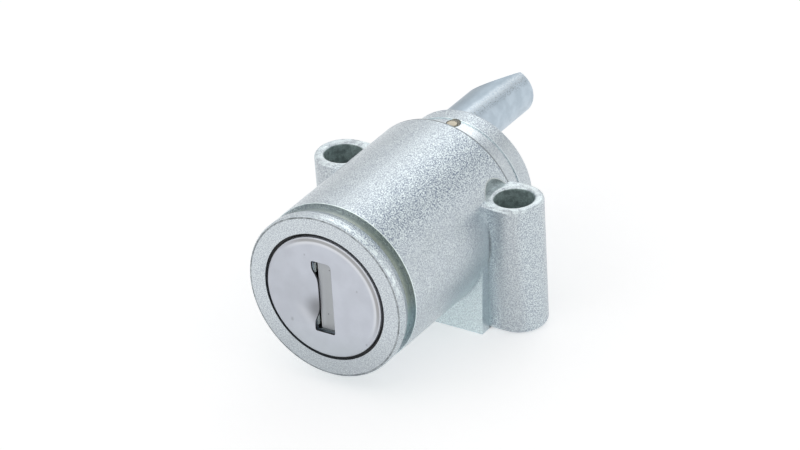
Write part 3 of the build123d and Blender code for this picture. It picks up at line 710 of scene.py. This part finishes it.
@dataclass(frozen=True)
class PlatedSteel:
    """Zinc-plated turned steel of the bolt: satin, with a painted highlight streak along its top,
    painted shade on one side and painted dark sparkle specks along the streak's lower edge.

    Angles are in degrees round the bolt's own axis, 0 at the right and 90 at the top.
    """

    pale: Colour = (0.54, 0.63, 0.71)
    deep: Colour = (0.46, 0.545, 0.62)
    # Painted highlight of the streak, painted dark sparkle and painted side shade.
    painted_streak_highlight: Colour = (0.74, 0.81, 0.86)
    painted_dark_sparkle: Colour = (0.26, 0.31, 0.345)
    painted_side_shade: Colour = (0.30, 0.365, 0.42)
    axis: Band = (-3.214, 3.83)
    streak_station: float = 37.0
    streak_angle: float = 67.0
    streak_lean: float = 1.05
    streak_width: Fade = Fade(3, 17, 1.0, 0.0)
    streak_share: float = 0.9
    streak_cut: Fade = Fade(0.38, 0.62)
    wander_mm: float = 0.9
    wander: float = 0.16
    painted_side_shade_fade: Fade = Fade(0, 18, 0.0, 0.7)
    painted_dark_specks_angle: float = 11.0
    painted_dark_specks_width: Fade = Fade(2, 14, 0.8, 0.0)
    painted_dark_specks_cut: Fade = Fade(0.5, 0.6)
    metallic: float = 0.85
    gloss: Fade = SOFT.to(0.3, 0.42)

    def material(self) -> Material:
        """Build the material."""
        graph = Graph("plated_bolt")
        x, y, z = graph.axes()
        grain = graph.noise(0.2, detail=2.0, rough=0.7)
        rings = graph.noise(0.3, detail=2.0, stretch=(0.15, 2.0, 0.15))
        cloud = graph.noise(1.5, detail=3.0)
        colour = graph.mix(graph.ramp(cloud, MEDIUM), self.deep, self.pale)
        across = graph.math("SUBTRACT", x, self.axis[0] * MM)
        height = graph.math("SUBTRACT", z, (self.axis[1] + AXIS_HEIGHT) * MM)
        turn = graph.math("ARCTAN2", height, across)
        station = graph.math("ADD", y, (HOLE_STATION - self.streak_station) * MM)
        lean = math.radians(self.streak_lean) / MM
        middle = graph.math("MULTIPLY_ADD", station, -lean, math.radians(self.streak_angle))
        off = graph.math("SUBTRACT", turn, middle)
        # Painted shade on the upper-left side, past the streak.
        colour = graph.mix(graph.ramp(off, self.painted_side_shade_fade, DEGREE), colour, self.painted_side_shade)
        # A painted highlight streak along the top, wandering a little.
        drift = graph.noise(self.wander_mm, detail=2.0)
        drift = graph.math("MULTIPLY_ADD", drift, self.wander, -self.wander / 2)
        line = graph.math("ADD", off, drift)
        streak = graph.ramp(graph.math("ABSOLUTE", line), self.streak_width, DEGREE)
        specks = graph.mix(graph.ramp(grain, self.streak_cut), self.pale, self.painted_streak_highlight)
        colour = graph.mix(graph.all_of(streak, self.streak_share), colour, specks)
        # Painted dark sparkle specks along the streak's lower edge.
        below = graph.math("ABSOLUTE", graph.math("ADD", line, math.radians(self.painted_dark_specks_angle)))
        painted_dark_specks = graph.all_of(
            graph.ramp(below, self.painted_dark_specks_width, DEGREE), graph.ramp(grain, self.painted_dark_specks_cut)
        )
        graph.set("Base Color", graph.mix(painted_dark_specks, colour, self.painted_dark_sparkle))
        graph.set("Metallic", self.metallic)
        graph.set("Roughness", graph.ramp(grain, self.gloss))
        under = graph.bump(rings, 0.004, 0.4)
        rough = graph.math("MULTIPLY_ADD", streak, 0.8, 0.2)
        graph.set("Normal", graph.bump(graph.all_of(grain, rough), 0.02, 0.8, under))
        return graph.material


@dataclass(frozen=True)
class PlainMetal:
    """Turned or drawn small parts: the springs, the pins and the wafers."""

    name: str
    colour: Colour
    roughness: float = 0.35

    def material(self) -> Material:
        """Build the material."""
        graph = Graph(self.name)
        cloud = graph.noise(1.2, detail=3.0)
        fine = graph.noise(0.12, detail=2.0)
        darker = tuple(channel * 0.78 for channel in self.colour)
        graph.set("Base Color", graph.mix(graph.ramp(cloud, SOFT), darker, self.colour))
        graph.set("Metallic", 0.9)
        rough = SOFT.to(self.roughness - 0.06, self.roughness + 0.08)
        graph.set("Roughness", graph.ramp(fine, rough))
        graph.set("Normal", graph.bump(fine, 0.004, 0.4))
        return graph.material


def dress(node: str, material: Material) -> None:
    """Give a CAD node one material."""
    piece = frame["nodes"][node]
    piece.data.materials.clear()
    piece.data.materials.append(material)


def piece_from(
    name: str, mesh: bpy.types.Mesh, material: Material, smooth: bool = True
) -> bpy.types.Object:
    """Make an object of a finished mesh.

    Args:
        name: The piece's name.
        mesh: Its mesh, in metres, in the row frame.
        material: Its finish.
        smooth: True shades its faces smooth.

    Returns:
        The piece, at the origin.
    """
    mesh.materials.clear()
    mesh.materials.append(material)
    for polygon in mesh.polygons:
        polygon.use_smooth = smooth
    piece = bpy.data.objects.new(name, mesh)
    bpy.context.scene.collection.objects.link(piece)
    return piece


@dataclass(frozen=True)
class Coil:
    """Sizes of one coil spring, in mm; its base is the centre of its first turn, in metres.

    The height is between the wire's centres, coil_r is the radius of the wire's centre line, and
    the lean turns the axis away from Z, in radians.
    """

    base: Vector
    height: float
    coil_r: float
    wire_r: float
    turns: float
    lean: Triple = (0, 0, 0)


@dataclass
class CoilSprings:
    """The lock's coil springs, all made by one Geometry Nodes tree."""

    material: Material
    tree: bpy.types.NodeTree = field(init=False)
    points_per_turn: int = 28
    points_round_wire: int = 12

    def __post_init__(self) -> None:
        """Build the tree that the springs share."""
        self.tree = self.build_tree()

    def build_tree(self) -> bpy.types.NodeTree:
        """Build the tree: a helix with a round wire, dead ends closed, in the spring's own place.

        Returns:
            The tree, with named inputs for its sizes.
        """
        tree = bpy.data.node_groups.new("coil_spring", "GeometryNodeTree")
        interface = tree.interface
        kinds = {
            "Float": ("Turns", "Height", "Coil radius", "Wire radius"),
            "Vector": ("Base", "Lean"),
            "Material": ("Material",),
        }
        for kind, names in kinds.items():
            for name in names:
                interface.new_socket(name, in_out="INPUT", socket_type=f"NodeSocket{kind}")
        interface.new_socket("Geometry", in_out="OUTPUT", socket_type="NodeSocketGeometry")
        nodes, links = tree.nodes, tree.links
        inputs = nodes.new("NodeGroupInput")
        helix = nodes.new("GeometryNodeCurveSpiral")
        helix.inputs["Resolution"].default_value = self.points_per_turn
        circle = nodes.new("GeometryNodeCurvePrimitiveCircle")
        circle.inputs["Resolution"].default_value = self.points_round_wire
        wire = nodes.new("GeometryNodeCurveToMesh")
        wire.inputs["Fill Caps"].default_value = True
        place = nodes.new("GeometryNodeTransform")
        smooth = nodes.new("GeometryNodeSetShadeSmooth")
        real = nodes.new("GeometryNodeRealizeInstances")
        finish = nodes.new("GeometryNodeSetMaterial")
        outputs = nodes.new("NodeGroupOutput")
        sizes = inputs.outputs
        for source, target in (
            (sizes["Turns"], helix.inputs["Rotations"]),
            (sizes["Coil radius"], helix.inputs["Start Radius"]),
            (sizes["Coil radius"], helix.inputs["End Radius"]),
            (sizes["Height"], helix.inputs["Height"]),
            (sizes["Wire radius"], circle.inputs["Radius"]),
            (helix.outputs[0], wire.inputs["Curve"]),
            (circle.outputs[0], wire.inputs["Profile Curve"]),
            (wire.outputs[0], place.inputs["Geometry"]),
            (sizes["Base"], place.inputs["Translation"]),
            (sizes["Lean"], place.inputs["Rotation"]),
            (place.outputs[0], smooth.inputs[0]),
            (smooth.outputs[0], real.inputs[0]),
            (real.outputs[0], finish.inputs["Geometry"]),
            (sizes["Material"], finish.inputs["Material"]),
            (finish.outputs[0], outputs.inputs[0]),
        ):
            links.new(source, target)
        return tree

    def spring(self, name: str, coil: Coil) -> bpy.types.Object:
        """Make one spring as a plain mesh.

        Args:
            name: The piece's name.
            coil: Its sizes.

        Returns:
            The piece.
        """
        holder = bpy.data.objects.new(f"{name}_maker", bpy.data.meshes.new(f"{name}_maker"))
        bpy.context.scene.collection.objects.link(holder)
        modifier = holder.modifiers.new("coil", "NODES")
        modifier.node_group = self.tree
        sizes = {
            "Turns": coil.turns,
            "Height": coil.height * MM,
            "Coil radius": coil.coil_r * MM,
            "Wire radius": coil.wire_r * MM,
            "Base": coil.base,
            "Lean": Vector(coil.lean),
            "Material": self.material,
        }
        for item in self.tree.interface.items_tree:
            if item.in_out == "INPUT":
                modifier[item.identifier] = sizes[item.name]
        depsgraph = bpy.context.evaluated_depsgraph_get()
        mesh = bpy.data.meshes.new_from_object(holder.evaluated_get(depsgraph))
        bpy.data.objects.remove(holder)
        return piece_from(name, mesh, self.material)

    def make(self) -> list[bpy.types.Object]:
        """Make the bolt spring, the shutter spring and the wafer springs, and seat them."""
        front, rear, wire_r, stroke = 15.65, 24.05, 0.25, 5.0
        along = (-math.pi / 2, 0, 0)
        coil = Coil(at(0, front, 0), rear - front, coil_r=2.85, wire_r=wire_r, turns=6.0, lean=along)
        bolt = self.spring("bolt_spring_coil", coil)
        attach(bolt, Body.ROOT.value)
        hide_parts("bolt_spring")
        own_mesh(bolt)
        coil = Coil(at(1.95, 0.85, -1.5), height=3.0, coil_r=0.38, wire_r=0.08, turns=8.0)
        shutter = self.spring("shutter_spring_coil", coil)
        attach(shutter, Body.PLUG.value)
        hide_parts("shutter_spring")
        pieces = [bolt, shutter]
        first, pitch = 4.5, 1.1
        for number in range(5):
            base = at(3.95, first + pitch * number, -3.12)
            coil = Coil(base, height=3.24, coil_r=0.3, wire_r=0.08, turns=6.0)
            wafer = self.spring(f"wafer_spring_coil_{number + 1}", coil)
            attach(wafer, Body.PLUG.value)
            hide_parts(f"wafer_spring_{number + 1}")
            pieces.append(wafer)
        return pieces


@dataclass
class KeyCap:
    """The drawn cap over the plug: rounded rim, waisted key slot with a rolled lip, and a dent.

    Sizes are in mm; heights are over the lock axis.
    """

    material: Material
    edge: Material
    radius: float = 8.2
    proud: float = 0.35
    wall: float = 0.6
    skirt_end: float = 2.3
    edge_round: float = 0.75
    edge_drop: float = 0.4
    slot_sheet: float = 0.26
    half_width: float = 1.38
    half_height: float = 4.87
    bulge: float = 0.58
    bulge_half: float = 3.95
    bulge_power: float = 2.3
    wide_corner: float = 0.5
    corner: float = 0.2
    lip_round: float = 0.16
    bend_depth: float = 0.35
    bend_reach: float = 0.8
    bend_half: float = 3.3
    bend_power: int = 6
    dent_height: float = -1.7
    dent_reach: Band = (1.4, 1.6)
    past_waist: float = 0.5
    ray_squash: float = 0.9
    row_power: float = 1.15

    # Points and rows of the mesh; edge_rows have the cut edge's near-black finish, painted shade.
    around: int = 360
    corner_steps: int = 6
    waist_steps: int = 40
    lip_steps: int = 6
    face_steps: int = 40
    rim_steps: int = 10
    edge_rows: int = 4
    waist_margin: float = 0.1
    flat_margin: float = 0.01

    def slot_outline(self) -> list[Vector]:
        """Points round the key slot, anticlockwise seen from the key side, evenly spaced."""
        corners: list[Vector] = []

        def rounded(x: float, z: float, radius: float, start: float) -> None:
            """Add a rounded corner about its outer point."""
            centre_x = x - math.copysign(radius, x)
            centre_z = z - math.copysign(radius, z)
            for step in range(self.corner_steps + 1):
                angle = math.radians(start + 90 * step / self.corner_steps)
                out = Vector((math.cos(angle), 0, math.sin(angle))) * radius
                corners.append(Vector((centre_x, 0, centre_z)) + out)

        rounded(self.half_width, self.half_height, self.wide_corner, 0)
        rounded(-self.half_width, self.half_height, self.corner, 90)
        for step in range(self.waist_steps + 1):
            height = (1 - 2 * step / self.waist_steps) * self.bulge_half
            corners.append(Vector((self.waist(height), 0, height)))
        rounded(-self.half_width, -self.half_height, self.corner, 180)
        rounded(self.half_width, -self.half_height, self.corner, 270)
        return self.resampled(corners)

    def resampled(self, corners: list[Vector]) -> list[Vector]:
        """Spread points evenly along a closed line of corners."""
        ring = corners + [corners[0]]
        lengths = [(ring[i + 1] - ring[i]).length for i in range(len(corners))]
        total = sum(lengths)
        points = []
        index = 0
        passed = 0.0
        for n in range(self.around):
            goal = total * n / self.around
            while passed + lengths[index] < goal:
                passed += lengths[index]
                index += 1
            share = (goal - passed) / lengths[index]
            points.append(ring[index].lerp(ring[index + 1], share))
        return points

    def waist(self, z: float) -> float:
        """X of the slot's left side at a height on the cap, in mm."""
        share = min(1.0, abs(z) / self.bulge_half)
        wave = math.cos(math.pi * share**self.bulge_power)
        return -self.half_width + self.bulge * (1 + wave) / 2

    def dent(self, x: float, z: float) -> float:
        """How far the sheet is pressed in at a point of the cap's face, in mm.

        The sheet is bent in along the slot's waist, and further out beside its lower half.
        """
        beside = max(0.0, self.waist(z) - x)
        past = max(0.0, x - self.waist(z)) / self.past_waist
        reach, high = self.dent_reach
        bend = math.exp(-((beside / self.bend_reach) ** 2) - (z / self.bend_half) ** self.bend_power)
        dent = math.exp(-((beside / reach) ** 2) - ((z - self.dent_height) / high) ** 2)
        return self.bend_depth * max(bend, dent) * math.exp(-(past**2))

    def rows(self) -> list[list[Vector]]:
        """Rings of points from the slot's inner edge over the face and round the skirt, in mm."""
        outline = self.slot_outline()
        face = -self.proud
        rows = []
        outward = []
        count = len(outline)
        for n in range(count):
            along = outline[(n + 1) % count] - outline[n - 1]
            outward.append(Vector((along.z, 0, -along.x)).normalized())
        rows.append([p + Vector((0, face + self.slot_sheet, 0)) for p in outline])
        for step in range(self.lip_steps + 1):
            angle = math.radians(90 * step / self.lip_steps)
            out = self.lip_round * (1 - math.cos(angle))
            depth = Vector((0, face + self.lip_round * (1 - math.sin(angle)), 0))
            rows.append([p + o * out + depth for p, o in zip(outline, outward)])
        lip = rows[-1]
        flat_r = self.radius - self.edge_round
        rim = []
        for p in lip:
            on_waist = p.x < 0 and abs(p.z) < self.bulge_half + self.waist_margin
            across = -self.half_width - self.lip_round if on_waist else p.x
            angle = math.atan2(p.z * self.ray_squash, across)
            rim.append(Vector((flat_r * math.cos(angle), face, flat_r * math.sin(angle))))
        for step in range(1, self.face_steps + 1):
            share = (step / self.face_steps) ** self.row_power
            rows.append([a.lerp(b, share) for a, b in zip(lip, rim)])
        for step in range(1, self.rim_steps + 1):
            angle = math.radians(90 * step / self.rim_steps)
            ring_r = flat_r + self.edge_round * math.sin(angle)
            depth = self.edge_drop * (1 - math.cos(angle))
            rows.append(self.spread(rim, ring_r / flat_r, face + depth))
        inner = (self.radius - self.wall) / flat_r
        outer = self.radius / flat_r
        rows.append(self.spread(rim, outer, self.skirt_end))
        rows.append(self.spread(rim, inner, self.skirt_end))
        rows.append(self.spread(rim, inner, face + self.wall))
        return rows

    def spread(self, ring: list[Vector], scale: float, station: float) -> list[Vector]:
        """A ring scaled about the lock axis, at another station."""
        return [Vector((p.x * scale, station, p.z * scale)) for p in ring]

    def mesh(self) -> bpy.types.Mesh:
        """Build the cap's mesh, closed, in metres."""
        mesh = bpy.data.meshes.new("key_cap")
        build = bmesh.new()
        rings = []
        for row in self.rows():
            ring = []
            for p in row:
                depth = 0.0
                if math.hypot(p.x, p.z) < self.radius - self.edge_round + self.flat_margin:
                    depth = self.dent(p.x, p.z)
                ring.append(build.verts.new(at(p.x, p.y + depth, p.z)))
            rings.append(ring)
        count = len(rings[0])
        for first, second in zip(rings, rings[1:] + rings[:1]):
            for n in range(count):
                m = (n + 1) % count
                build.faces.new((first[n], first[m], second[m], second[n]))
        bmesh.ops.recalc_face_normals(build, faces=build.faces)
        build.to_mesh(mesh)
        build.free()
        return mesh

    def make(self) -> bpy.types.Object:
        """Make the cap and put it in the CAD cap's place."""
        cap = piece_from("key_cap", self.mesh(), self.material)
        cap.data.materials.append(self.edge)
        for polygon in cap.data.polygons[: self.edge_rows * self.around]:
            polygon.material_index = 1
        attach(cap, Body.PLUG.value)
        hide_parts("plug_cap")
        return cap


@dataclass
class Studio:
    """Floor, lamps, world and the camera at the photograph's angle."""

    azimuth: float = 34.32
    elevation: float = 29.84
    roll: float = -3.67
    distance_mm: float = 736.0
    scale: float = 8.1476
    target: Triple = (2.245, 14.0, 3.499)
    picture_width: int = 800
    sensor: float = 36.0
    card_distance: float = 0.7
    matt_light: float = 0.6
    floor_half: float = 6.0
    floor_tone: float = 0.93
    floor_glow: Fade = Fade(0.0, 1.0, 0.32, 0.42)

    def camera(self) -> None:
        """Place the camera."""
        a, e, roll = (math.radians(v) for v in (self.azimuth, self.elevation, self.roll))
        back = Vector((math.sin(a) * math.cos(e), -math.cos(a) * math.cos(e), math.sin(e)))
        right = Vector((math.cos(a), math.sin(a), 0))
        up = back.cross(right)
        right_turned = right * math.cos(roll) + up * math.sin(roll)
        up_turned = up * math.cos(roll) - right * math.sin(roll)
        data = bpy.data.cameras.new("camera")
        data.sensor_width = self.sensor
        data.lens = self.scale * self.distance_mm * self.sensor / self.picture_width
        data.clip_end = 50
        camera = bpy.data.objects.new("camera", data)
        place = at(*self.target) + back * self.distance_mm * MM
        columns = Matrix((right_turned, up_turned, back)).transposed().to_4x4()
        camera.matrix_world = Matrix.Translation(place) @ columns
        bpy.context.scene.collection.objects.link(camera)
        bpy.context.scene.camera = camera

    def lamp(self, name: str, direction: Triple, far: float, size: float, watts: float) -> None:
        """Add an area lamp that looks at the lock.

        Args:
            name: The lamp's name.
            direction: Direction from the lock to the lamp.
            far: Distance, in metres.
            size: Side of the square lamp, in metres.
            watts: Power.
        """
        data = bpy.data.lights.new(name, "AREA")
        data.energy = watts
        data.size = size
        lamp = bpy.data.objects.new(name, data)
        towards = Vector(direction).normalized()
        lamp.location = at(0, 24, 0) + towards * far
        lamp.rotation_euler = towards.to_track_quat("Z", "Y").to_euler()
        bpy.context.scene.collection.objects.link(lamp)

    def card(self, name: str, direction: Triple, across: Triple, size: Band, tone: float) -> None:
        """Add a grey card that only the bare metal mirrors, as a studio has between its lamps.

        Args:
            name: The card's name.
            direction: Direction from the lock to the card.
            across: Direction of its first side.
            size: Length of its first and second sides, in metres.
            tone: Its brightness; 1 is white.
        """
        towards = Vector(direction).normalized()
        across = Vector(across)
        upright = towards.cross(across).normalized()
        across = upright.cross(towards)
        centre = at(0, 14, 0) + towards * self.card_distance
        mesh = bpy.data.meshes.new(name)
        corners = []
        for a, b in ((-0.5, -0.5), (0.5, -0.5), (0.5, 0.5), (-0.5, 0.5)):
            corners.append(centre + across * a * size[0] + upright * b * size[1])
        mesh.from_pydata(corners, [], [(0, 1, 2, 3)])
        graph = Graph(f"{name}_paper")
        graph.set("Base Color", (0.0, 0.0, 0.0, 1.0))
        graph.set("Specular IOR Level", 0.0)
        graph.set("Emission Color", (1.0, 1.0, 1.0, 1.0))
        graph.set("Emission Strength", tone)
        card = piece_from(name, mesh, graph.material, smooth=False)
        card.visible_camera = False
        card.visible_diffuse = False
        card.visible_transmission = False
        card.visible_shadow = False

    def shown(self, tree: bpy.types.NodeTree) -> Socket:
        """1 for rays from the camera, in reflections or through glass, 0 for other rays."""
        rays = tree.nodes.new("ShaderNodeLightPath")
        result = rays.outputs["Is Camera Ray"]
        for name in ("Is Glossy Ray", "Is Transmission Ray"):
            either = tree.nodes.new("ShaderNodeMath")
            either.operation = "MAXIMUM"
            tree.links.new(result, either.inputs[0])
            tree.links.new(rays.outputs[name], either.inputs[1])
            result = either.outputs[0]
        return result

    def world(self) -> None:
        """White surroundings for the camera and in reflections, and softer light on matt surfaces."""
        world = bpy.data.worlds.new("studio")
        world.use_nodes = True
        tree = world.node_tree
        tree.nodes.clear()
        output = tree.nodes.new("ShaderNodeOutputWorld")
        background = tree.nodes.new("ShaderNodeBackground")
        strength = tree.nodes.new("ShaderNodeMapRange")
        strength.inputs["To Min"].default_value = self.matt_light
        strength.inputs["To Max"].default_value = 1.0
        tree.links.new(self.shown(tree), strength.inputs["Value"])
        tree.links.new(strength.outputs[0], background.inputs["Strength"])
        background.inputs["Color"].default_value = (1, 1, 1, 1)
        tree.links.new(background.outputs[0], output.inputs[0])
        bpy.context.scene.world = world

    def floor(self) -> None:
        """White floor that keeps a faint shadow of the lock."""
        mesh = bpy.data.meshes.new("floor")
        build = bmesh.new()
        bmesh.ops.create_grid(build, x_segments=1, y_segments=1, size=self.floor_half)
        build.to_mesh(mesh)
        build.free()
        graph = Graph("floor_paper")
        graph.set("Base Color", (*[self.floor_tone] * 3, 1.0))
        graph.set("Roughness", 0.9)
        graph.set("Specular IOR Level", 0.1)
        glow = graph.tree.nodes.new("ShaderNodeEmission")
        strength = graph.ramp(self.shown(graph.tree), self.floor_glow)
        graph.tree.links.new(strength, glow.inputs["Strength"])
        both = graph.tree.nodes.new("ShaderNodeAddShader")
        graph.tree.links.new(graph.shader.outputs[0], both.inputs[0])
        graph.tree.links.new(glow.outputs[0], both.inputs[1])
        graph.tree.links.new(both.outputs[0], graph.output.inputs[0])
        floor = piece_from("floor", mesh, graph.material, smooth=False)

    def make(self) -> None:
        """Build the studio."""
        self.world()
        self.floor()
        self.lamp("top_back", (-0.24, 0.72, 0.65), far=1.2, size=0.6, watts=0.6)
        self.lamp("front_key", (-0.5, -1.0, 1.0), far=1.5, size=0.8, watts=1.0)
        rear_right, falling = (0.406, 0.716, 0.568), (0.388, 0.0, -0.277)
        rear_left, upright = (-0.69, 0.716, 0.03), (0.0, 0.0, 1.0)
        self.card("grey_card", rear_right, across=falling, size=(0.2, 0.7), tone=0.75)
        self.card("left_card", rear_left, across=upright, size=(0.2, 0.8), tone=0.75)
        self.camera()
        bpy.context.scene.view_settings.view_transform = "Standard"


class BatteryLock:
    """The whole lock: finishes on the CAD nodes, and the pieces that stand for some of them."""

    def __init__(self) -> None:
        """Make the finishes."""
        self.zinc = CastZinc().material()
        self.cap = CapSteel("stainless_cap", (0.57, 0.60, 0.665)).material()
        # The slot's cut edge, near-black as painted shade.
        self.cut_edge = Dark(
            "slot_edge",
            (0.012, 0.013, 0.015),
            lighter=2.5,
            grain_mm=0.1,
            roughness=0.5,
            depth_mm=0.003,
            strength=0.5,
        ).material()
        shutter = ShutterSteel("shutter_steel", (0.42, 0.44, 0.46), roughness=0.42)
        self.shutter = shutter.material()
        self.bolt = PlatedSteel().material()
        self.spring = PlainMetal("spring_steel", (0.42, 0.43, 0.45)).material()
        self.brass = PlainMetal("brass", (0.60, 0.55, 0.44)).material()
        self.rubber = Dark(
            "black_rubber",
            (0.008, 0.009, 0.010),
            lighter=2.0,
            grain_mm=0.15,
            roughness=0.55,
            depth_mm=0.01,
            strength=0.4,
        ).material()

    def dress_nodes(self) -> None:
        """Give each CAD node its finish, from the record's slots."""
        finishes = {
            Slot.ZINC: self.zinc,
            Slot.CAP: self.cap,
            Slot.BOLT: self.bolt,
            Slot.SPRING: self.spring,
            Slot.BRASS: self.brass,
            Slot.RUBBER: self.rubber,
            Slot.SHUTTER: self.shutter,
        }
        for part in frame["record"]["subparts"]:
            dress(part["node"], finishes[Slot(part["material_slot"])])
            log.info("%s: %s", part["node"], part["material_slot"])

    def make(self) -> None:
        """Dress the nodes and add the scene's own pieces."""
        self.dress_nodes()
        pieces = [KeyCap(self.cap, self.cut_edge).make()]
        pieces += CoilSprings(self.spring).make()
        for piece in pieces:
            log.info("%s: %d faces", piece.name, len(piece.data.polygons))


def main() -> None:
    """Build the lock and the studio."""
    logging.basicConfig(level=logging.INFO, format="%(name)s: %(message)s")
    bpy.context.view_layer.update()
    BatteryLock().make()
    Studio().make()


if __name__ == "__main__":
    main()
